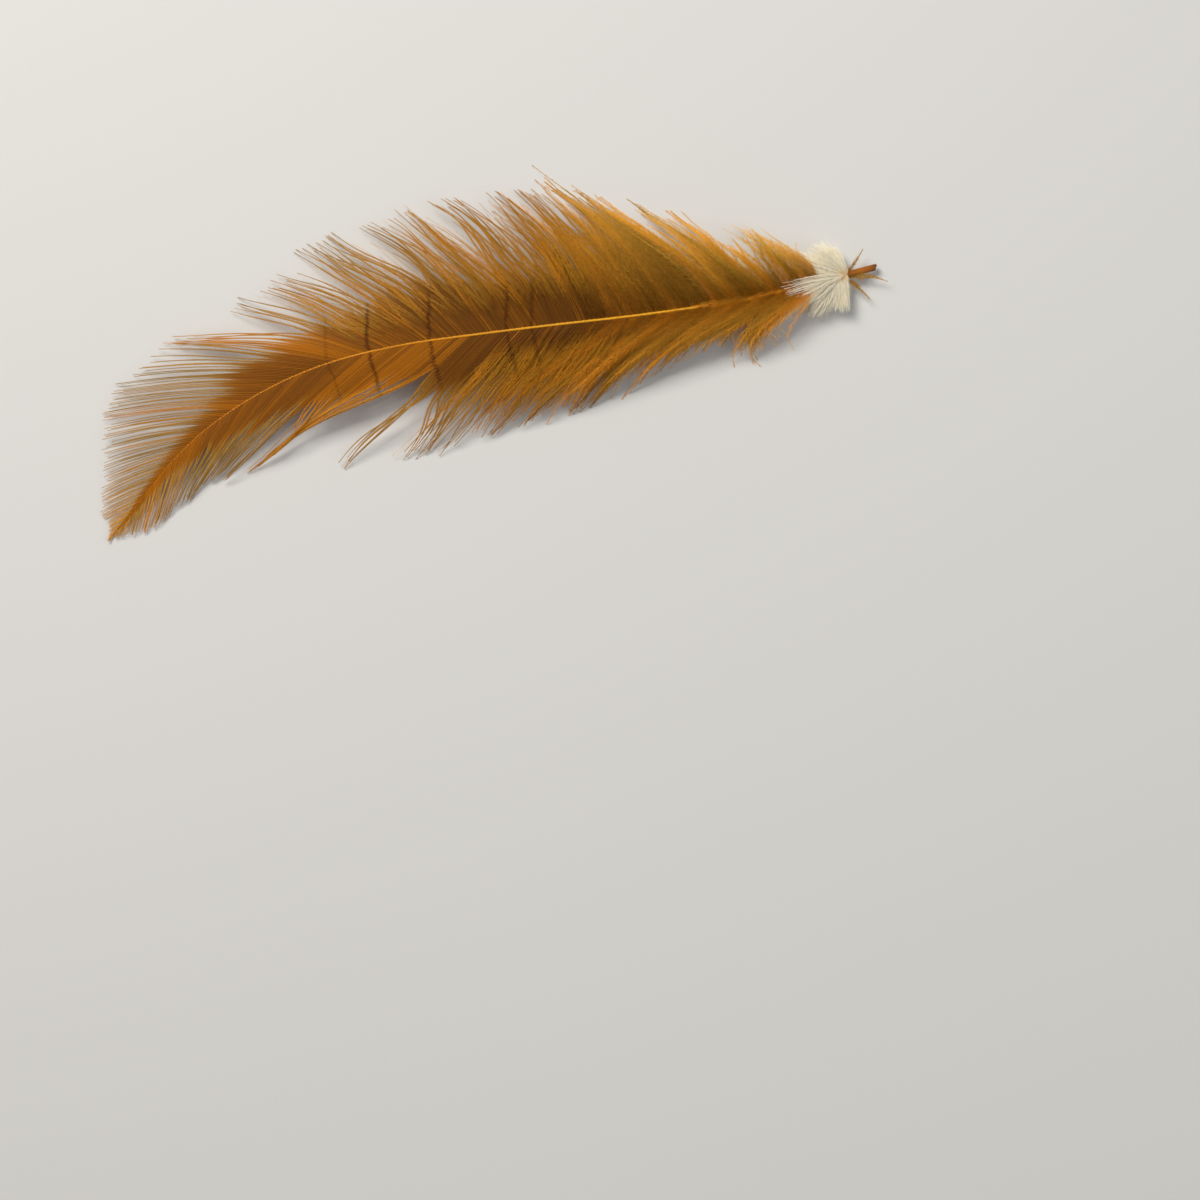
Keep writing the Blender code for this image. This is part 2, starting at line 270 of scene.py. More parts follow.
class FeatherColours(bpy.types.PropertyGroup):
    quill: colour_property("Quill", "Bare quill", (172, 98, 14))
    rachis: colour_property("Rachis", "Shaft between the vanes", (238, 172, 34))
    web: colour_property("Web", "Closed vane beside the shaft", (150, 91, 25))
    fringe: colour_property("Fringe", "Free ends of the barbs near the tip", (198, 152, 66))
    ochre: colour_property("Ochre", "Down on the base of the shaft", (208, 148, 38))
    gold: colour_property("Gold", "Lit tips of the down", (244, 196, 72))
    amber: colour_property("Amber", "Warm streaks in the locks", (218, 136, 20))
    bar: colour_property("Growth bars", "Dark bars across the vane", (80, 28, 8))
    tuft: colour_property("Tuft", "Pale tuft round the quill", (255, 249, 230))
    floor: colour_property("Floor", "Surface under the feather", (224, 222, 217))


def mm(length):
    return length / MM


def smooth(table, share):
    """The columns of a table at these shares, on one smooth curve through its rows."""
    rows = np.asarray(table, float)
    x, y = rows[:, 0], rows[:, 1:]
    slope = np.gradient(y, x, axis=0)
    share = np.clip(np.asarray(share, float), x[0], x[-1])
    row = np.clip(np.searchsorted(x, share, "right") - 1, 0, len(x) - 2)
    width = x[row + 1] - x[row]
    u = ((share - x[row]) / width)[..., None]
    width = width[..., None]
    return (
        (2 * u**3 - 3 * u**2 + 1) * y[row]
        + (u**3 - 2 * u**2 + u) * width * slope[row]
        + (3 * u**2 - 2 * u**3) * y[row + 1]
        + (u**3 - u**2) * width * slope[row + 1]
    )


def straight(table, share):
    """A table's second column at these shares, on straight lines through its rows."""
    return np.interp(share, *zip(*table))


def lengths_along(points):
    """How far along a line each of its points lies."""
    steps = np.linalg.norm(np.diff(points, axis=0), axis=1)
    return np.concatenate([[0.0], np.cumsum(steps)])


def unit(vectors):
    return vectors / np.maximum(np.linalg.norm(vectors, axis=-1, keepdims=True), 1e-12)


def ease(values):
    """0 below 0, 1 above 1 and a smooth rise between."""
    t = np.clip(values, 0, 1)
    return t * t * (3 - 2 * t)


class Shaft:
    """The shaft's centre line: its points and headings by share of its length."""

    def __init__(self):
        route = np.array(SHAFT_ROUTE, float)
        route[:, :2] += TIP_AT
        along = lengths_along(route[:, :2])
        table = np.column_stack([along / along[-1], route])
        self.points = smooth(table, np.linspace(0, 1, SHAFT_POINTS))
        along = lengths_along(self.points[:, :2])
        self.length = along[-1]
        self.share = along / along[-1]
        self.tangents = unit(np.gradient(self.points, self.share, axis=0))

    def read(self, table, share):
        return np.stack([np.interp(share, self.share, column) for column in table.T], -1)

    def point(self, share):
        return self.read(self.points, share)

    def tangent(self, share):
        return self.read(self.tangents, share)

    def heading(self, share):
        tangent = self.tangent(share)
        return np.arctan2(tangent[..., 1], tangent[..., 0])


class Field:
    """Where any barb of one side runs, by the share at its root and the part of its length."""

    FALL_POWER = 1.6  # barbs come down slowly by the shaft and faster at their tips

    def __init__(self, shaft, side, guides):
        self.shares = np.linspace(guides[0][0], 1.0, FIELD_BARBS)
        reach = np.linspace(0, 1, FIELD_PARTS + 1)
        length, root, tip, arch, tip_height = smooth(guides, self.shares).T[:, :, None]
        away = np.radians(root + (tip - root) * reach)
        heading = shaft.heading(self.shares)[:, None] - side * away
        step = np.stack([np.cos(heading), np.sin(heading)], -1) * (length / FIELD_PARTS)[..., None]
        path = np.cumsum((step[:, 1:] + step[:, :-1]) / 2, axis=1)
        start = shaft.point(self.shares)
        fall = reach**self.FALL_POWER
        self.points = np.zeros((FIELD_BARBS, FIELD_PARTS + 1, 3))
        self.points[:, 1:, :2] = path
        self.points[..., :2] += start[:, None, :2]
        arched = arch * 4 * reach * (1 - reach)
        self.points[..., 2] = start[:, 2:] * (1 - fall) + tip_height * fall + arched

    def at(self, share, reach):
        """Points on straight lines between the field's samples, and a little beyond its tips."""
        share, reach = np.broadcast_arrays(share, reach)
        first, second = self.shares[:2]
        a = (np.clip(share, first, 1) - first) / (second - first)
        i = np.clip(a.astype(int), 0, FIELD_BARBS - 2)
        b = reach * FIELD_PARTS
        j = np.clip(b.astype(int), 0, FIELD_PARTS - 1)
        f, g = (a - i)[..., None], (b - j)[..., None]
        near = self.points[i, j] * (1 - g) + self.points[i, j + 1] * g
        far = self.points[i + 1, j] * (1 - g) + self.points[i + 1, j + 1] * g
        return near * (1 - f) + far * f


def groups(rng, count, least, most):
    """Each of count barbs' group number, for runs of least to most neighbours."""
    sizes = rng.integers(least, most + 1, size=count // least + 2)
    return np.repeat(np.arange(len(sizes)), sizes)[:count]


def per_group(draws, group):
    """One draw for each group, given to each of its members."""
    return draws(group.max() + 1)[group]


def spread(rng, group, low, high):
    """A number between low and high for each group, given to each of its members."""
    return per_group(lambda n: rng.uniform(low, high, n), group)


def scatter(rng, group, by_group, by_member):
    """Normal draws by group and by member, each with its own deviation, added up."""
    shared = by_group * per_group(rng.standard_normal, group)
    return shared + by_member * rng.standard_normal(len(group))


def mean_of(group, values):
    """For each member, its group's mean."""
    return (np.bincount(group, values) / np.maximum(np.bincount(group), 1))[group]


class Strands:
    """Many fine strips, tubes and hairs, gathered for one mesh with values at its points."""

    VALUES = ("share", "along", "station", "out", "tone", "open")

    def __init__(self):
        self.points, self.faces, self.values, self.maps = [], [], [], []
        self.count = 0

    def add(self, points, faces, values, maps):
        self.points.append(points.reshape(-1, 3))
        self.faces.append(faces + self.count)
        self.values.append(values.reshape(-1, values.shape[-1]))
        self.maps.append(maps.reshape(-1, 2))
        self.count += len(self.points[-1])

    def add_sheets(self, points, values, maps, closed=False):
        """Grids of points as [strand, step along, step across], joined into faces."""
        n, k, m = points.shape[:3]
        index = np.arange(n * k * m).reshape(n, k, m)
        if closed:
            index = np.concatenate([index, index[:, :, :1]], axis=2)
        corners = (index[:, :-1, :-1], index[:, :-1, 1:], index[:, 1:, 1:], index[:, 1:, :-1])
        faces = np.stack(corners, -1).reshape(-1, 4)
        values = np.broadcast_to(values, (n, k, m, len(self.VALUES)))
        self.add(points, faces, values, maps)

    def add_hairs(self, roots, tips, across, values, maps):
        """One slim triangle from each root to its tip."""
        points = np.stack([roots - across, roots + across, tips], axis=-2)
        faces = np.arange(3 * len(roots)).reshape(-1, 3)
        values = np.broadcast_to(values[:, None], (len(roots), 3, values.shape[-1]))
        self.add(points, faces, values, maps)

    def mesh(self, name):
        """A mesh in metres, with each value as an attribute and the map that keeps its look."""
        made = bpy.data.meshes.new(name)
        points = np.concatenate(self.points) * MM
        made.vertices.add(len(points))
        made.vertices.foreach_set("co", points.astype(np.float32).ravel())
        corners = np.concatenate([f.ravel() for f in self.faces])
        sizes = np.concatenate([np.full(len(f), f.shape[1]) for f in self.faces])
        made.loops.add(len(corners))
        made.loops.foreach_set("vertex_index", corners.astype(np.int32))
        made.polygons.add(len(sizes))
        starts = np.concatenate([[0], np.cumsum(sizes)[:-1]])
        made.polygons.foreach_set("loop_start", starts.astype(np.int32))
        made.update(calc_edges=True)
        values = np.concatenate(self.values)
        for column, title in enumerate(self.VALUES):
            layer = made.attributes.new(title, "FLOAT", "POINT")
            layer.data.foreach_set("value", values[:, column].astype(np.float32))
        uv = np.concatenate(self.maps)[corners]
        made.uv_layers.new(name="OFBake").data.foreach_set("uv", uv.astype(np.float32).ravel())
        made.shade_smooth()
        made.validate()
        return made


class Barbs:
    """Lines of barbs with what is known at each of their points.

    shares are those at their roots, reach the part of each length at its points, and opened how
    far each point is out of the closed vane, from 0 to 1.
    """

    LEAN_SPREAD = 9  # degrees
    BARBULE_LENGTHS = (0.5, 1.15)
    BARBULE_TONE = 0.1

    def __init__(self, shaft, lines, shares, reach, tone, opened):
        self.lines = lines
        self.lines[..., 2] = np.maximum(lines[..., 2], FLOOR_GAP)
        self.along = unit(np.gradient(lines, axis=1))
        self.up = unit(np.array([0.0, 0.0, 1.0]) - self.along * self.along[..., 2:])
        self.across = np.cross(self.up, self.along)
        n, k = lines.shape[:2]
        self.reach = np.broadcast_to(reach, (n, k))
        away = lines - shaft.point(shares)[:, None]
        tangent = unit(shaft.tangent(shares) * (1, 1, 0))[:, None]
        forward = (away * tangent).sum(-1)
        out = np.linalg.norm((away - forward[..., None] * tangent)[..., :2], axis=-1)
        station = shares[:, None] + forward / shaft.length
        known = (shares[:, None], self.reach, station, out, tone[:, None], opened)
        self.values = np.stack([np.broadcast_to(v, (n, k)) for v in known], -1)
        self.u = (np.arange(n) + 0.5) / n
        self.half_u = 0.46 / n

    def maps(self, sides):
        """Places in the look's map: a column for each barb, sides across it and reach up it."""
        u = self.u[:, None, None] + self.half_u * np.asarray(sides)
        v = 0.01 + 0.96 * np.clip(self.reach, 0, 1)[..., None]
        return np.stack(np.broadcast_arrays(u, v), -1)

    def add_stems(self, strands, radius):
        """The barbs themselves, as fine ridged tubes that are a little higher than wide."""
        r = (radius[:, None] * (1 - (1 - STEM_TIP) * self.reach**1.5))[..., None]
        ring = [
            self.lines + self.across * r,
            self.lines + self.up * r * 1.3,
            self.lines - self.across * r,
        ]
        points, maps = np.stack(ring, axis=2), self.maps([1.0, 0.0, -1.0])
        strands.add_sheets(points, self.values[:, :, None], maps, closed=True)

    def add_strips(self, strands, radius):
        """The barbs as flat strips, for down, whose barbs are too fine to show their form."""
        r = (radius * (1 - (1 - STRIP_TIP) * self.reach))[..., None]
        points = np.stack([self.lines + self.across * r, self.lines - self.across * r], axis=2)
        strands.add_sheets(points, self.values[:, :, None], self.maps([1.0, -1.0]))

    def add_barbules(self, strands, rng, length, width, per_mm, lean, lift, start=0.0):
        """Hairs that stand off both sides of the barbs, leaning towards their tips.

        length is each barb's own, lean and lift are in degrees, and start is the part of a barb
        that has none.
        """
        n, k = self.reach.shape
        spans = np.linalg.norm(np.diff(self.lines, axis=1), axis=2).sum(1)
        count = np.maximum((spans * (1 - start) * per_mm).astype(int), 1)
        barb = np.repeat(np.arange(n), count)
        w = start + (1 - start) * rng.random(len(barb))
        a = w * (k - 1)
        i = np.clip(a.astype(int), 0, k - 2)
        f = (a - i)[:, None]

        def read(table):
            return table[barb, i] * (1 - f) + table[barb, i + 1] * f

        root, along, up, across, values = (
            read(table) for table in (self.lines, self.along, self.up, self.across, self.values)
        )
        side = rng.choice((-1.0, 1.0), len(barb))[:, None]
        turn = np.radians(rng.normal(lean, self.LEAN_SPREAD, len(barb)))[:, None]
        rise = np.radians(rng.normal(0, lift, len(barb)))[:, None]
        sideways = across * side * np.cos(rise) + up * np.sin(rise)
        way = along * np.cos(turn) + np.sin(turn) * sideways
        taper = np.clip(1.8 * (1 - w), 0.25, 1)
        reach = length[barb] * taper * rng.uniform(*self.BARBULE_LENGTHS, len(barb))
        tips = root + way * reach[:, None]
        tips[:, 2] = np.maximum(tips[:, 2], FLOOR_GAP / 2)
        flat = unit(np.cross(way, up)) * (width / 2)
        tone = Strands.VALUES.index("tone")
        shade = rng.normal(0, self.BARBULE_TONE, len(barb))
        values[:, tone] = np.clip(values[:, tone] + shade, 0, 1)
        u, v = self.u[barb], 0.01 + 0.94 * np.clip(w, 0, 1)
        corners = ((u - self.half_u, v), (u + self.half_u, v), (u, v + 0.02))
        maps = np.stack([np.stack(corner, -1) for corner in corners], axis=1)
        strands.add_hairs(root, tips, flat, values, maps)


class Number:
    """A number in a material's nodes, on which Python's operators add Math nodes."""

    def __init__(self, paint, socket):
        self.paint, self.socket = paint, socket

    def __add__(self, other):
        return self.paint.maths("ADD", self, other)

    def __sub__(self, other):
        return self.paint.maths("SUBTRACT", self, other)

    def __rsub__(self, other):
        return self.paint.maths("SUBTRACT", other, self)

    def __mul__(self, other):
        return self.paint.maths("MULTIPLY", self, other)

    def __truediv__(self, other):
        return self.paint.maths("DIVIDE", self, other)

    def __pow__(self, other):
        return self.paint.maths("POWER", self, other)

    def __abs__(self):
        return self.paint.maths("ABSOLUTE", self)

    __radd__ = __add__
    __rmul__ = __mul__

    def clamped(self):
        return self.paint.maths("MINIMUM", self.paint.maths("MAXIMUM", self, 0.0), 1.0)


class Paint:
    """One material and its nodes."""

    def __init__(self, name):
        self.material = bpy.data.materials.new(name)
        self.material.use_nodes = True
        self.tree = self.material.node_tree
        self.tree.nodes.clear()

    def node(self, kind, settings=(), inputs=()):
        """A node of this kind, its settings made first and then its sockets fed."""
        made = self.tree.nodes.new(kind)
        for name, value in dict(settings).items():
            if name == "stops":
                self.set_stops(made.color_ramp, value)
            else:
                setattr(made, name, value)
        for key, value in dict(inputs).items():
            self.feed(made.inputs[key], value)
        return made

    def set_stops(self, ramp, stops):
        while len(ramp.elements) < len(stops):
            ramp.elements.new(1.0)
        for element, (place, colour) in zip(ramp.elements, stops):
            element.position = place
            element.color = (*colour, 1.0)

    def feed(self, socket, value):
        value = value.socket if isinstance(value, Number) else value
        if isinstance(value, bpy.types.NodeSocket):
            self.tree.links.new(value, socket)
        else:
            socket.default_value = value

    def maths(self, operation, *values):
        made = self.node("ShaderNodeMath", {"operation": operation}, dict(enumerate(values)))
        return Number(self, made.outputs[0])

    def attribute(self, name):
        made = self.node("ShaderNodeAttribute", {"attribute_name": name})
        return Number(self, made.outputs["Fac"])

    def noise(self, vector, scale=1.0, detail=3.0):
        inputs = {"Vector": vector, "Scale": scale, "Detail": detail}
        return Number(self, self.node("ShaderNodeTexNoise", inputs=inputs).outputs["Fac"])

    def pair(self, x, y):
        """A vector from two numbers, as a place for a pattern."""
        return self.node("ShaderNodeCombineXYZ", inputs={"X": x, "Y": y}).outputs[0]

    def ramp(self, number, stops):
        return self.node("ShaderNodeValToRGB", {"stops": stops}, {"Fac": number}).outputs["Color"]

    def mix(self, share, one, two, blend="MIX"):
        """Two colours mixed, where 0 gives the first."""
        settings = {"data_type": "RGBA", "blend_type": blend, "clamp_factor": True}
        one, two = ((*c, 1.0) if isinstance(c, tuple) else c for c in (one, two))
        return self.node("ShaderNodeMix", settings, {0: share, 6: one, 7: two}).outputs[2]

    def lit(self, colour, light):
        """The colour times a number."""
        grey = self.node("ShaderNodeCombineColor", inputs={0: light, 1: light, 2: light})
        return self.mix(1.0, colour, grey.outputs[0], "MULTIPLY")

    def finish(self, colour, roughness, through=0.0, bump=None, **others):
        """The surface itself: a Principled shader, some of whose light may pass through."""
        inputs = {"Base Color": colour, "Roughness": roughness, **others}
        if bump is not None:
            height, strength, distance = bump
            shape = {"Height": height, "Strength": strength, "Distance": distance}
            inputs["Normal"] = self.node("ShaderNodeBump", inputs=shape).outputs["Normal"]
        surface = self.node("ShaderNodeBsdfPrincipled", inputs=inputs).outputs[0]
        if through:
            behind = self.node("ShaderNodeBsdfTranslucent", inputs={"Color": colour}).outputs[0]
            both = {0: through, 1: surface, 2: behind}
            surface = self.node("ShaderNodeMixShader", inputs=both).outputs[0]
        self.node("ShaderNodeOutputMaterial", inputs={"Surface": surface})
        return self.material


def scaled(colour, factor):
    return tuple(min(1.0, c * factor) for c in colour)


def between(one, two, share):
    return tuple(a + (b - a) * share for a, b in zip(one, two))


def picked(colours, *names):
    """These colours of the panel, as tuples."""
    return tuple(tuple(getattr(colours, name)) for name in names)


def growth_bars(paint, station, out):
    """How dark the growth bars are here, from 0 to 1."""
    wobble = paint.noise(paint.pair(out * 0.8, station * 40.0), detail=2.0)
    place = station + out * BAR_SLANT + (wobble - 0.5) * BAR_WOBBLE
    dark = None
    for middle, half_width, strength in GROWTH_BARS:
        bar = (1.0 - abs(place - middle) / half_width).clamped() ** 0.5 * strength
        dark = bar if dark is None else dark + bar
    near = (1.0 - (out - BAR_REACH) / BAR_FADE).clamped()
    return (dark * near).clamped()


def vane_material(name, colours, through, haze=0.0):
    """Barbs of the vane: brown by the shaft, golden and tan at their free ends.

    haze is how much of the web shows through where it is out of the closed vane.
    """
    paint = Paint(name)
    share, along, station, out, tone, opened = (paint.attribute(v) for v in Strands.VALUES)
    web, fringe, bar = picked(colours, "web", "fringe", "bar")
    ochre, gold, amber = picked(colours, "ochre", "gold", "amber")
    # The closed web is darkest round station 0.36: partly the web's own darker brown and partly
    # painted shade by the shaft.
    closed = paint.ramp(
        station,
        [
            (0.20, between(web, ochre, 0.35)),
            (0.36, scaled(web, 0.62)),
            (0.50, scaled(web, 0.80)),
            (0.62, scaled(web, 1.08)),
            (0.80, scaled(web, 1.45)),
            (0.96, between(web, amber, 0.6)),
        ],
    )
    free = paint.ramp(
        station,
        [
            (0.22, ochre),
            (0.42, between(ochre, web, 0.15)),
            (0.58, between(ochre, fringe, 0.5)),
            (0.70, fringe),
            (0.92, scaled(fringe, 1.05)),
            (1.0, between(gold, amber, 0.4)),
        ],
    )
    colour = paint.mix(opened, closed, free)
    colour = paint.mix((tone - 0.5).clamped() * 1.2, colour, amber)
    streak = paint.noise(paint.pair(share * 900.0, along * 3.0), detail=4.0)
    swing = (tone - 0.45) * 0.5 + (streak - 0.5) * 0.7
    colour = paint.lit(colour, 1.0 + swing * (opened * 0.6 + 0.4))
    colour = paint.mix(growth_bars(paint, station, out) * 0.9, colour, bar)
    others = dict(SOFT_GLOSS)
    if haze:
        grain = paint.noise(paint.pair(share * 1500.0, along * 60.0), detail=2.0)
        others["Alpha"] = (1.0 - opened * (haze + (grain - 0.5) * 0.4)).clamped()
    return paint.finish(colour, 0.45 + streak * 0.2, through, **others)


def down_material(name, colours, through, warmth=0.0):
    """Soft ochre down, paler towards the quill, darker at its roots with painted shade and golden
    at its tips with a painted highlight.

    warmth is how far its colour goes towards amber.
    """
    paint = Paint(name)
    share, along, tone = (paint.attribute(v) for v in ("share", "along", "tone"))
    web, amber, ochre, gold, white = picked(colours, "web", "amber", "ochre", "gold", "tuft")
    cream = between(gold, white, 0.3)
    ochre, gold = between(ochre, amber, warmth), between(gold, amber, warmth * 0.6)
    near, middle, far = 0.06, 0.2, 0.34
    dark, brown = scaled(web, 0.85), between(ochre, web, 0.5)
    # Painted shade and highlight: root is the darker colour where the down lies in shade at the
    # barbs' roots, and tip the golden lit colour at their tips. Both also change along the shaft
    # with the down's own colour.
    root = paint.ramp(share, [(near, ochre), (middle, brown), (far, dark)])
    tip = paint.ramp(share, [(near, gold), (middle, between(ochre, gold, 0.7)), (far, ochre)])
    colour = paint.mix((along * 1.3).clamped(), root, tip)
    colour = paint.mix((tone - 0.6).clamped() * 1.2, colour, amber)
    streak = paint.noise(paint.pair(share * 700.0, along * 2.0), detail=4.0)
    # tone carries painted shade at the edges of the locks of down, besides its random tone.
    colour = paint.lit(colour, 0.62 + tone * 0.75 + (streak - 0.5) * 0.7)
    pale = (1.0 - (share - 0.055) / 0.03).clamped()
    colour = paint.mix(pale * 0.7, colour, cream)
    return paint.finish(colour, 0.6, through, **SOFT_GLOSS)


def tuft_material(name, colours, through):
    """White down, a little warm at its roots."""
    paint = Paint(name)
    along, tone = paint.attribute("along"), paint.attribute("tone")
    white, gold = picked(colours, "tuft", "gold")
    warm = between(white, gold, 0.5)
    colour = paint.mix((along * 6.0).clamped(), warm, white)
    colour = paint.mix((tone - 0.75).clamped() * 1.4, colour, warm)
    colour = paint.lit(colour, 0.88 + tone * 0.22)
    return paint.finish(colour, 0.65, through, **{"Specular IOR Level": 0.2})


def shaft_material(name, colours):
    """The bare quill is red-brown and glossy, and the rachis golden, with fine lines along it."""
    paint = Paint(name)
    share, along = paint.attribute("share"), paint.attribute("along")
    quill, rachis, amber = picked(colours, "quill", "rachis", "amber")
    colour = paint.ramp(
        share,
        [
            (0.0, scaled(quill, 0.45)),
            (0.007, scaled(quill, 0.8)),
            (0.018, quill),
            (0.034, scaled(quill, 0.6)),
            (0.14, between(quill, rachis, 0.7)),
            (0.28, rachis),
            (0.55, between(rachis, amber, 0.8)),
            (1.0, amber),
        ],
    )
    lines = paint.noise(paint.pair(along * 26.0, share * 30.0), detail=5.0)
    colour = paint.lit(colour, 0.7 + lines * 0.6)
    coat = (0.3 - share * 0.6).clamped()
    gloss = {"Coat Weight": coat, "Coat Roughness": 0.2, "Specular IOR Level": 0.2}
    return paint.finish(colour, 0.35 + lines * 0.2, 0.0, (lines, 0.25, 0.00005), **gloss)


def new_piece(name, strands, material):
    """A piece of the feather that rides with it and stands for its solid."""
    mesh = strands.mesh(name)
    mesh.materials.append(material)
    piece = bpy.data.objects.new(name, mesh)
    bpy.context.scene.collection.objects.link(piece)
    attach(piece, BODY)
    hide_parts(NODE)
    return piece


class VaneLines:
    """The barbs of one vane: they leave the shaft evenly, and gather in pairs and in locks."""

    ROOT_JITTER = 0.25  # as a part of the spacing
    LAST_ROOT = 0.999
    CLOSED = (0.72, 1.2)  # as a part of what the habit's table says
    LENGTHS, LOCK_LENGTHS, BUNDLE_LENGTHS = (0.92, 1.03), (0.93, 1.03), (0.85, 1.02)
    OPENING = ((0.58, 0.28), (0.66, 0.24))  # share, and over how much of a barb the vane opens
    MIDDLE_TONE, BUNDLE_TONE = 0.53, 0.35

    def __init__(self, shaft, field, habit, bundles, spacing, rng):
        low = habit[0][0]
        count = int((1 - low) * shaft.length / spacing)
        self.spacing = (1 - low) / (count - 1)
        jitter = rng.uniform(-self.ROOT_JITTER, self.ROOT_JITTER, count)
        self.roots = np.clip(low + self.spacing * (np.arange(count) + jitter), low, self.LAST_ROOT)
        closed, gathered, lock_firm, pair_firm, stray, self.barbule = smooth(habit, self.roots).T
        self.reach = np.linspace(0, 1, BARB_POINTS)
        pair, lock = groups(rng, count, *VANE_PAIR), groups(rng, count, *VANE_LOCK)
        closed = closed * spread(rng, pair, *self.CLOSED)
        lock_at = mean_of(lock, self.roots) + per_group(rng.standard_normal, lock) * stray * 0.9
        full = spread(rng, lock, *self.LOCK_LENGTHS) * rng.uniform(*self.LENGTHS, count)
        bundled = np.zeros(count)
        for first, last, centre, firm in bundles:
            inside = (self.roots > first) & (self.roots < last)
            lock_at[inside], lock_firm[inside], bundled[inside] = centre, firm, 1
            full[inside] = rng.uniform(*self.BUNDLE_LENGTHS, inside.sum())
        full = full * straight(TIP_TRIM, self.roots)
        pair_firm = pair_firm * spread(rng, pair, 0.05, 1) ** 0.8
        past = self.reach - closed[:, None]
        to_pair = ease((self.reach - 0.8 * closed[:, None]) / 0.35) * pair_firm[:, None]
        to_lock = ease(past / (gathered - closed)[:, None]) * lock_firm[:, None]
        self.opened = ease(past / straight(self.OPENING, self.roots)[:, None])
        pair_at = mean_of(pair, self.roots)
        share = self.roots[:, None] + (pair_at - self.roots)[:, None] * to_pair
        share = share + (lock_at - pair_at)[:, None] * to_lock
        bend = rng.normal(0, 1, count) * stray
        share = share + bend[:, None] * self.opened * ease(1.2 * self.reach)
        phase = spread(rng, lock, 0, 2 * math.pi) + rng.normal(0, 0.9, count)
        wave = np.sin(phase[:, None] + 7.5 * self.reach)
        self.share = share + 0.7 * stray[:, None] * self.opened * wave
        self.full = self.reach * full[:, None]
        self.lines = field.at(self.share, self.full)
        lift = scatter(rng, lock, 0.22, 0.1)
        self.lines[..., 2] += 0.08 + np.abs(lift)[:, None] * ease(past / 0.5)
        by_lock, by_pair = (per_group(rng.standard_normal, group) for group in (lock, pair))
        tone = 0.12 * by_lock + 0.1 * by_pair + self.BUNDLE_TONE * bundled
        self.tone = np.clip(self.MIDDLE_TONE + tone + 0.07 * rng.standard_normal(count), 0, 1)


def add_web(strands, barbs, field, vane):
    """Each barb's two narrow webs, which meet its neighbours' in the closed vane."""
    cover = 0.80 - 0.52 * vane.opened
    cover = cover * np.clip((1 - vane.reach) * 4, 0.1, 1) * vane.spacing
    lift = barbs.lines[..., 2] - field.at(vane.share, vane.full)[..., 2]
    edges = []
    for way, drop in ((-1, 0.08), (0, 0.01), (1, 0.04)):
        edge = field.at(vane.share + way * cover, vane.full)
        edge[..., 2] += lift - drop
        edges.append(edge)
    points = np.stack(edges, axis=2)
    points[..., 2] = np.maximum(points[..., 2], FLOOR_GAP / 2)
    strands.add_sheets(points, barbs.values[:, :, None], barbs.maps([-1.0, 0.0, 1.0]))


def make_vane(shaft, scene, side, guides, habit, bundles, title, seed):
    """The barbs, webs and barbules of one vane, as three pieces."""
    sizes, colours = scene.feather_sizes, scene.feather_colours
    rng = np.random.default_rng(seed)
    field = Field(shaft, side, guides)
    vane = VaneLines(shaft, field, habit, bundles, mm(sizes.barb_spacing), rng)
    barbs = Barbs(shaft, vane.lines, vane.roots, vane.reach, vane.tone, vane.opened)
    stems, web, hairs = Strands(), Strands(), Strands()
    barbs.add_stems(stems, mm(sizes.barb_width) / 2 * rng.uniform(0.85, 1.15, len(vane.roots)))
    add_web(web, barbs, field, vane)
    width = mm(sizes.barbule_width)
    barbs.add_barbules(hairs, rng, vane.barbule, width, per_mm=14.0, lean=36, lift=25, start=0.14)
    kinds = (("barbs", stems, 0.15, 0.0), ("web", web, 0.35, 0.62), ("barbules", hairs, 0.3, 0.0))
    for kind, strands, through, haze in kinds:
        look = vane_material(f"{title}_{kind}", colours, through, haze)
        new_piece(f"{title}_vane_{kind}", strands, look)


def down_lines(shaft, field, wisps, spacing, rng, stretch, most, lean):
    """Soft barbs over a stretch of the shaft, gathered in pointed locks that overlap.

    wisps is the table of how much longer the longest locks may be, most the number of barbs in the
    largest lock, and lean how far their tips lie towards the shaft's tip, as a share of its length.
    """
    first, last = stretch
    count = int((last - first) * shaft.length / spacing)
    roots = np.sort(first + (last - first) * rng.random(count))
    reach = np.linspace(0, 1, BARB_POINTS)
    lock = groups(rng, count, most // 3, most)
    wisp = rng.permutation(groups(rng, count, *DOWN_WISP))
    lock_at = mean_of(lock, roots) + 0.006 * per_group(rng.standard_normal, lock)
    firm = spread(rng, lock, 0.72, 0.96)
    to_lock = ease((reach - 0.25) / 0.7) * firm[:, None]
    share = roots[:, None] + (lock_at - roots)[:, None] * to_lock
    bend = scatter(rng, lock, 0.012, 0.006)
    share = share + bend[:, None] * reach**2 + lean * ease(reach * 1.2)
    wave = rng.uniform(0, 2 * math.pi, count)[:, None]
    share = share + 0.0016 * np.sin(wave + 9 * reach) * reach
    share = share + 0.004 * per_group(rng.standard_normal, wisp)[:, None] * ease(reach * 1.4)
    longer = straight(wisps, roots) * per_group(rng.random, lock) ** 1.4
    full = (0.77 + longer) * rng.uniform(0.5, 1.02, count) ** 0.5
    offset = roots - mean_of(lock, roots)
    outer = np.abs(offset) / np.sqrt(mean_of(lock, offset**2) + 1e-9)
    full = full * (1.06 - 0.15 * outer)
    lines = field.at(share, reach * full[:, None])
    lift = 0.4 * np.abs(per_group(rng.standard_normal, lock)) + 0.2 * rng.standard_normal(count)
    fade = np.clip((last - roots) / 0.08, 0, 1)
    lines[..., 2] += (lift * fade)[:, None] * np.sin(math.pi * np.clip(reach * 0.9, 0, 1))
    tone = scatter(rng, lock, 0.2, 0.1)
    # Painted shade: the tone falls towards the edges of each lock, as shade between the locks, on
    # top of a random tone for each lock and barb.
    return roots, lines, reach, np.clip(0.76 - 0.3 * outer + tone, 0, 1)


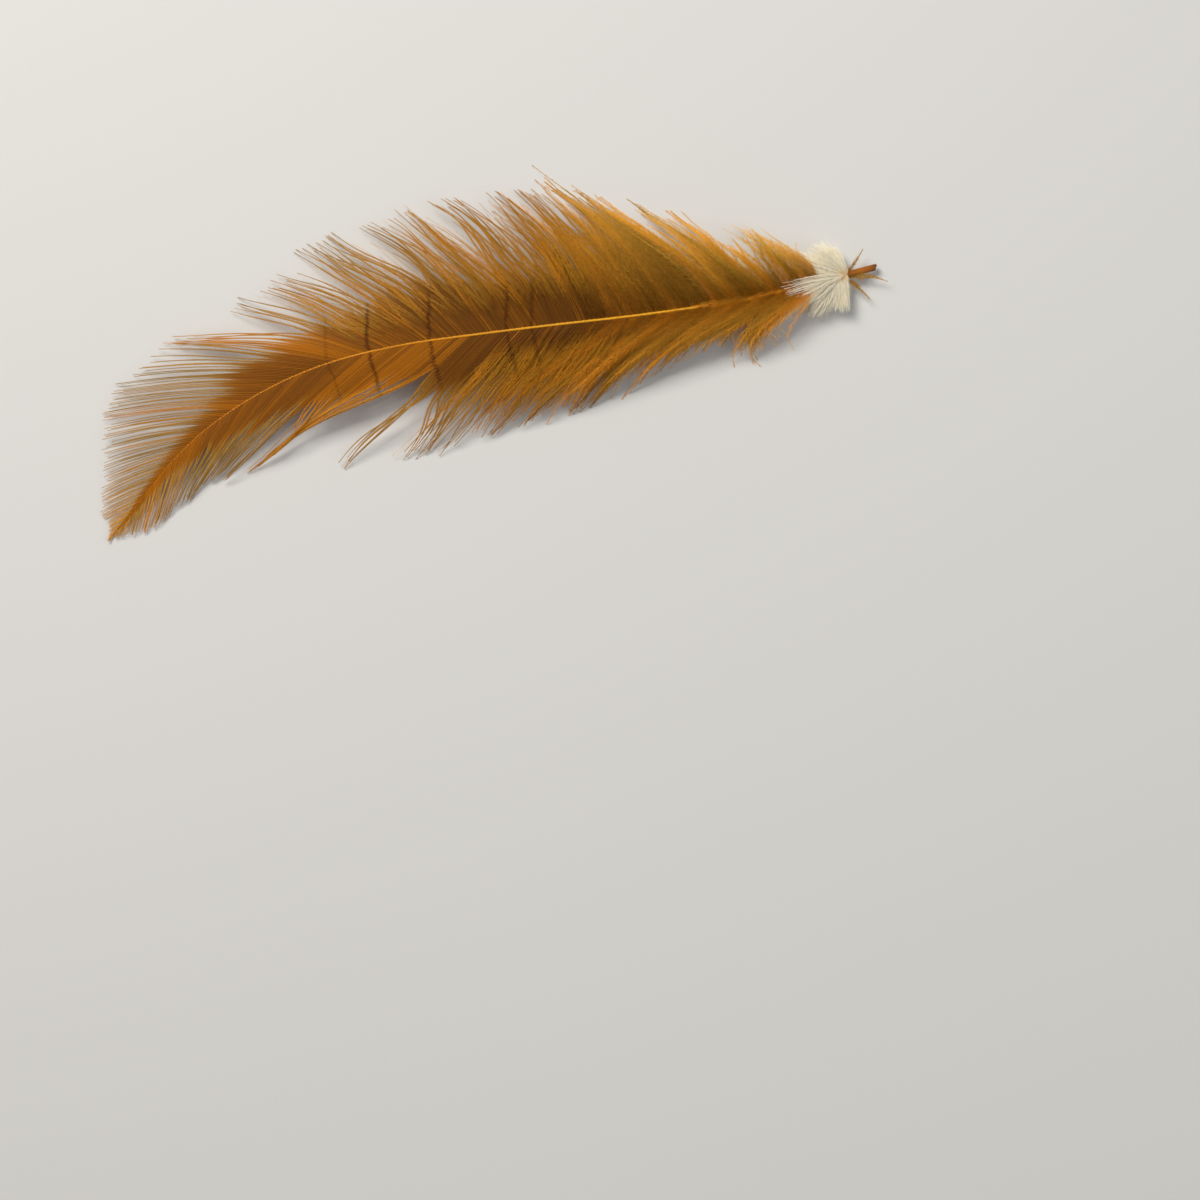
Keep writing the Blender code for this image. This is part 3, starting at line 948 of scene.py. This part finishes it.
def new_soft_piece(name, barbs, rng, sizes, thick, length, material, fine=1.0, **barbules):
    """A piece of barbs that are strips with barbules.

    thick is the strips' radius in down widths, and fine the barbules' width in barbule widths.
    """
    strands = Strands()
    barbs.add_strips(strands, mm(sizes.down_width) * thick)
    barbs.add_barbules(strands, rng, length, mm(sizes.barbule_width) * fine, **barbules)
    new_piece(name, strands, material)


def make_down(shaft, scene, side, guides, wisps, lean, warmth, title, seed):
    """The down of one side of the base, as one piece."""
    sizes, name = scene.feather_sizes, f"{title}_down"
    rng = np.random.default_rng(seed)
    field, spacing = Field(shaft, side, guides), mm(sizes.down_spacing)
    found = down_lines(shaft, field, wisps, spacing, rng, DOWN_ROOTS, most=26, lean=lean)
    roots, lines, reach, tone = found
    barbs = Barbs(shaft, lines, roots, reach, tone, reach)
    look = down_material(name, scene.feather_colours, through=0.3, warmth=warmth)
    length = straight(DOWN_BARBULES, roots)
    new_soft_piece(name, barbs, rng, sizes, 0.5, length, look, per_mm=20.0, lean=34, lift=60)


def make_filaments(shaft, scene, side, guides, wisps, stretch, title, seed):
    """Fine loose barbs that wander between the locks in the middle of a vane, as one piece."""
    sizes, name = scene.feather_sizes, f"{title}_filaments"
    rng = np.random.default_rng(seed)
    field, spacing = Field(shaft, side, guides), mm(sizes.filament_spacing)
    found = down_lines(shaft, field, wisps, spacing, rng, stretch, most=9, lean=0.0)
    roots, lines, reach, tone = found
    lines[..., 2] += 0.15
    opened = ease((reach - 0.15) / 0.3)[None]
    barbs = Barbs(shaft, lines, roots, reach, tone, opened)
    look = vane_material(name, scene.feather_colours, through=0.3)
    length = straight(FILAMENT_BARBULES, roots)
    barbules = {"fine": 0.8, "per_mm": 14.0, "lean": 30, "lift": 45, "start": 0.2}
    new_soft_piece(name, barbs, rng, sizes, 0.5, length, look, **barbules)


def gathered(lines, lock, reach, firm):
    """Lines drawn towards the mean line of their lock, the most at their tips."""
    total = np.zeros((lock.max() + 1, *lines.shape[1:]))
    np.add.at(total, lock, lines)
    middle = total / np.maximum(np.bincount(lock), 1)[:, None, None]
    return lines + (middle[lock] - lines) * (firm * ease(reach))[None, :, None]


def fan_lines(start, heading, rise, length, sag, curl):
    """Barbs that spread from points, each with its own heading, rise and length."""
    reach = np.linspace(0, 1, BARB_POINTS)
    turn = heading[:, None] + curl[:, None] * reach
    flat = np.cos(rise)[:, None]
    climb = np.sin(rise)[:, None] - sag[:, None] * reach
    steps = np.stack([np.cos(turn) * flat, np.sin(turn) * flat, climb], -1)
    steps = unit(steps) * (length / (BARB_POINTS - 1))[:, None, None]
    steps[:, 0] = 0
    return np.cumsum(steps, axis=1) + start[:, None], reach


def make_cover(shaft, scene, seed):
    """Down that lies over the base of the shaft and hides it, swept towards the lower vane."""
    sizes, name = scene.feather_sizes, "cover_down"
    rng = np.random.default_rng(seed)
    count = sizes.cover_barbs
    shares = np.sort(rng.uniform(*COVER_ROOTS, count))
    lock = groups(rng, count, *COVER_LOCK)
    swept = spread(rng, lock, -5, 27)
    aside = np.radians(swept) + rng.normal(0, 0.07, count)
    heading = shaft.heading(shares) + aside
    rise = np.radians(rng.uniform(0, 10, count))
    to_end = (COVER_END - shares) * shaft.length
    length = to_end * 0.9 * spread(rng, lock, 0.8, 1.15)
    length = np.clip(length, 3.5, 13) * rng.uniform(0.7, 1.05, count)
    curl = 0.9 * np.clip(aside, 0, 1) + 0.1 * per_group(rng.standard_normal, lock)
    start = shaft.point(shares)
    start[:, 1] += rng.uniform(-0.3, 0.9, count)
    start[:, 2] += rng.uniform(0.1, 0.45, count)
    sag = 0.10 + 0.5 * np.abs(aside)
    lines, reach = fan_lines(start, heading, rise, length, sag, curl)
    lines = gathered(lines, lock, reach, 0.6)
    tone = 0.5 + scatter(rng, lock, 0.24, 0.14)
    barbs = Barbs(shaft, lines, shares, reach, np.clip(tone, 0, 1), reach)
    look = down_material(name, scene.feather_colours, through=0.3, warmth=0.5)
    length = np.full(count, SHORT_BARBULE)
    new_soft_piece(name, barbs, rng, sizes, 0.7, length, look, per_mm=12.0, lean=26, lift=55)


def make_tuft(shaft, scene, seed):
    """The pale tuft: short down that springs from the top of the quill and lies towards the tip."""
    sizes, name = scene.feather_sizes, "pale_tuft"
    rng = np.random.default_rng(seed)
    widest, lowest, climb = 98, -14, 46  # degrees aside, and degrees up
    longest, shorter = 9.2, 4.4  # the middle barbs, and how much shorter those at the sides are
    count = sizes.tuft_barbs
    lock = groups(rng, count, *TUFT_LOCK)
    shares = TUFT_ROOT + TUFT_ROOT_SPREAD * rng.random(count)
    turn = per_group(lambda n: rng.permutation(np.linspace(-1, 1, n)), lock)
    aside = np.radians(widest * np.sign(turn) * np.abs(turn) ** 1.15) + rng.normal(0, 0.12, count)
    heading = shaft.heading(shares) + aside
    above = per_group(rng.random, lock)
    rise = np.radians(lowest + climb * above * (1 - 0.4 * np.abs(turn)))
    rise = rise + rng.normal(0, 0.1, count)
    length = (longest - shorter * np.abs(turn)) * spread(rng, lock, 0.75, 1.2)
    length = length * rng.uniform(0.5, 1.05, count) ** 0.5
    sag = 0.1 + 0.9 * np.clip(rise, 0, 2)
    curl = 0.15 * rng.standard_normal(count) - 0.2 * np.sign(turn) * np.abs(turn)
    start = shaft.point(shares)
    start[:, 2] += 0.45 * (above > 0.4)
    lines, reach = fan_lines(start, heading, rise, length, sag, curl)
    lines = gathered(lines, lock, reach, 0.6)
    tone = 0.55 + scatter(rng, lock, 0.16, 0.1)
    barbs = Barbs(shaft, lines, shares, reach, np.clip(tone, 0, 1), reach)
    look = tuft_material(name, scene.feather_colours, through=0.35)
    length = np.full(count, SHORT_BARBULE)
    new_soft_piece(name, barbs, rng, sizes, 0.8, length, look, per_mm=9.0, lean=24, lift=60)


def make_loose_barbs(shaft, scene, seed):
    """The few barbs that stand apart from the tuft, beside the quill."""
    sizes, name = scene.feather_sizes, "loose_barbs"
    rng = np.random.default_rng(seed)
    shares, length, heading, turn, rise, sag, barbule = np.array(LOOSE_BARBS, float).T
    heading, turn, rise = np.radians((heading, turn, rise))
    lines, reach = fan_lines(shaft.point(shares), heading, rise, length, sag, turn)
    farther = shares + 0.2  # they have the colour of the down there
    barbs = Barbs(shaft, lines, farther, reach, np.full(len(shares), 0.25), reach)
    strands = Strands()
    barbs.add_stems(strands, np.full(len(shares), mm(sizes.down_width) * 0.8))
    width = mm(sizes.barbule_width) * 1.5
    barbs.add_barbules(strands, rng, barbule, width, per_mm=34.0, lean=32, lift=30, start=0.06)
    new_piece(name, strands, down_material(name, scene.feather_colours, through=0.3))


def make_shaft(shaft, scene):
    """Quill and rachis in one tube, open at the cut end of the quill."""
    sides, rings, hollow = 20, 260, 6
    deepest = 0.018  # share
    bottom, mouth, edge = 0.05, 0.36, 0.43  # radii of the hollow and of the cut edge round it
    depth = np.linspace(deepest, 0.0, hollow)
    share = np.concatenate([depth, [0.0], np.linspace(0, 1, rings) ** 1.15])
    radius = smooth(SHAFT_RADIUS, share)[:, 0]
    radius[:hollow] = np.linspace(bottom, mouth, hollow)
    radius[hollow] = edge
    along = shaft.tangent(share)
    up = unit(np.array([0, 0, 1.0]) - along * along[:, 2:])
    across = np.cross(up, along)
    angle = np.linspace(0, 2 * math.pi, sides, endpoint=False)
    around = np.cos(angle)[:, None] * across[:, None] + np.sin(angle)[:, None] * up[:, None]
    points = shaft.point(share)[:, None] + around * radius[:, None, None]
    ragged = 0.25 * np.cos(angle + 0.6) + 0.08 * np.cos(5 * angle)
    points[hollow - 1 : hollow + 2] += ragged[None, :, None] * along[0]
    values = np.zeros((1, len(share), sides, len(Strands.VALUES)))
    full_turn = 2 * math.pi
    for title, value in (("share", share[:, None]), ("along", angle / full_turn)):
        values[0, ..., Strands.VALUES.index(title)] = value
    u = 0.02 + 0.96 * angle / full_turn
    v = 0.01 + 0.98 * np.arange(len(share)) / len(share)
    maps = np.stack(np.broadcast_arrays(u, v[:, None]), -1)
    strands = Strands()
    strands.add_sheets(points[None], values, maps[None], closed=True)
    new_piece("shaft", strands, shaft_material("shaft", scene.feather_colours))


def make_camera(scene):
    """A camera straight above, at the photograph's framing."""
    lens = bpy.data.cameras.new("camera")
    lens.sensor_width = 36.0
    lens.lens = 120.0
    lens.clip_start = 0.01
    camera = bpy.data.objects.new("camera", lens)
    camera.location = (5.47 * MM, -46.3 * MM, 0.603)
    camera.rotation_euler = (0, 0, math.radians(-19.5))
    scene.collection.objects.link(camera)
    scene.camera = camera


def make_light(scene, name, place, size, power, colour):
    """A square light that faces the feather."""
    light = bpy.data.lights.new(name, "AREA")
    light.size = size
    light.energy = power
    light.color = colour
    lamp = bpy.data.objects.new(name, light)
    lamp.location = place
    away = np.array(place) / np.linalg.norm(place)
    lamp.rotation_euler = (math.acos(away[2]), 0, math.atan2(away[1], away[0]) + math.pi / 2)
    scene.collection.objects.link(lamp)


def make_stage(scene):
    """A pale floor, soft lights from the upper left and above, and the camera."""
    paint = Paint("floor")
    cloud = paint.noise(paint.node("ShaderNodeTexCoord").outputs["Object"], 6.0)
    base = tuple(scene.feather_colours.floor)
    look = paint.finish(paint.mix(cloud * 0.4, base, scaled(base, 0.95)), 0.75)
    half = 1.5
    mesh = bpy.data.meshes.new("floor")
    corners = [(-half, -half, 0), (half, -half, 0), (half, half, 0), (-half, half, 0)]
    mesh.from_pydata(corners, [], [(0, 1, 2, 3)])
    mesh.materials.append(look)
    floor = bpy.data.objects.new("floor", mesh)
    scene.collection.objects.link(floor)
    make_light(scene, "key", (-0.12, 0.42, 0.55), 0.3, 4.2, (1.0, 0.97, 0.93))
    make_light(scene, "fill", (0.5, -0.3, 0.6), 0.6, 1.5, (0.94, 0.97, 1.0))
    world = bpy.data.worlds.new("studio")
    world.use_nodes = True
    sky = world.node_tree.nodes["Background"].inputs
    sky["Color"].default_value = (0.92, 0.95, 1.0, 1.0)
    sky["Strength"].default_value = 0.22
    scene.world = world
    scene.view_settings.view_transform = "Standard"
    make_camera(scene)


class FEATHER_OT_stage(bpy.types.Operator):
    """Add the floor, the lights and the camera"""

    bl_idname = "feather.stage"
    bl_label = "Stage"

    def execute(self, context):
        make_stage(context.scene)
        return {"FINISHED"}


class FEATHER_OT_shaft(bpy.types.Operator):
    """Add the quill and the rachis"""

    bl_idname = "feather.shaft"
    bl_label = "Shaft"

    def execute(self, context):
        make_shaft(Shaft(), context.scene)
        return {"FINISHED"}


class FEATHER_OT_vanes(bpy.types.Operator):
    """Add both vanes: their barbs, webs and barbules"""

    bl_idname = "feather.vanes"
    bl_label = "Vanes"

    def execute(self, context):
        shaft, scene = Shaft(), context.scene
        upper, lower = UPPER_FILAMENT_ROOTS, LOWER_FILAMENT_ROOTS
        make_vane(shaft, scene, 1, UPPER_BARBS, UPPER_HABIT, UPPER_BUNDLES, "upper", 11)
        make_vane(shaft, scene, -1, LOWER_BARBS, LOWER_HABIT, LOWER_BUNDLES, "lower", 12)
        make_filaments(shaft, scene, 1, UPPER_BARBS, UPPER_WISPS, upper, "upper", 13)
        make_filaments(shaft, scene, -1, LOWER_BARBS, LOWER_WISPS, lower, "lower", 14)
        return {"FINISHED"}


class FEATHER_OT_down(bpy.types.Operator):
    """Add the down on both sides of the base and over the shaft"""

    bl_idname = "feather.down"
    bl_label = "Down"

    def execute(self, context):
        shaft, scene = Shaft(), context.scene
        make_down(shaft, scene, 1, UPPER_BARBS, UPPER_WISPS, 0.01, 0.1, "upper", 21)
        make_down(shaft, scene, -1, LOWER_BARBS, LOWER_WISPS, 0.05, 0.5, "lower", 22)
        make_cover(shaft, scene, 23)
        return {"FINISHED"}


class FEATHER_OT_tuft(bpy.types.Operator):
    """Add the pale tuft and the loose barbs beside the quill"""

    bl_idname = "feather.tuft"
    bl_label = "Tuft"

    def execute(self, context):
        make_tuft(Shaft(), context.scene, 31)
        make_loose_barbs(Shaft(), context.scene, 32)
        return {"FINISHED"}


OPERATORS = (FEATHER_OT_stage, FEATHER_OT_shaft, FEATHER_OT_vanes, FEATHER_OT_down, FEATHER_OT_tuft)


class FEATHER_PT_panel(bpy.types.Panel):
    """The feather's sizes, colours and pieces"""

    bl_idname = "FEATHER_PT_panel"
    bl_label = "Neck hackle feather"
    bl_space_type = "VIEW_3D"
    bl_region_type = "UI"
    bl_category = "Feather"

    def draw(self, context):
        for group in (context.scene.feather_sizes, context.scene.feather_colours):
            box = self.layout.box()
            for name in group.bl_rna.properties.keys():
                if name not in {"rna_type", "name"}:
                    box.prop(group, name)
        for operator in OPERATORS:
            self.layout.operator(operator.bl_idname)


CLASSES = (FeatherSizes, FeatherColours, *OPERATORS, FEATHER_PT_panel)


def register():
    for cls in CLASSES:
        bpy.utils.register_class(cls)
    bpy.types.Scene.feather_sizes = PointerProperty(type=FeatherSizes)
    bpy.types.Scene.feather_colours = PointerProperty(type=FeatherColours)


def unregister():
    del bpy.types.Scene.feather_colours
    del bpy.types.Scene.feather_sizes
    for cls in reversed(CLASSES):
        bpy.utils.unregister_class(cls)


def main():
    register()
    bpy.ops.feather.stage()
    bpy.ops.feather.shaft()
    bpy.ops.feather.vanes()
    bpy.ops.feather.down()
    bpy.ops.feather.tuft()


if __name__ == "__main__":
    main()
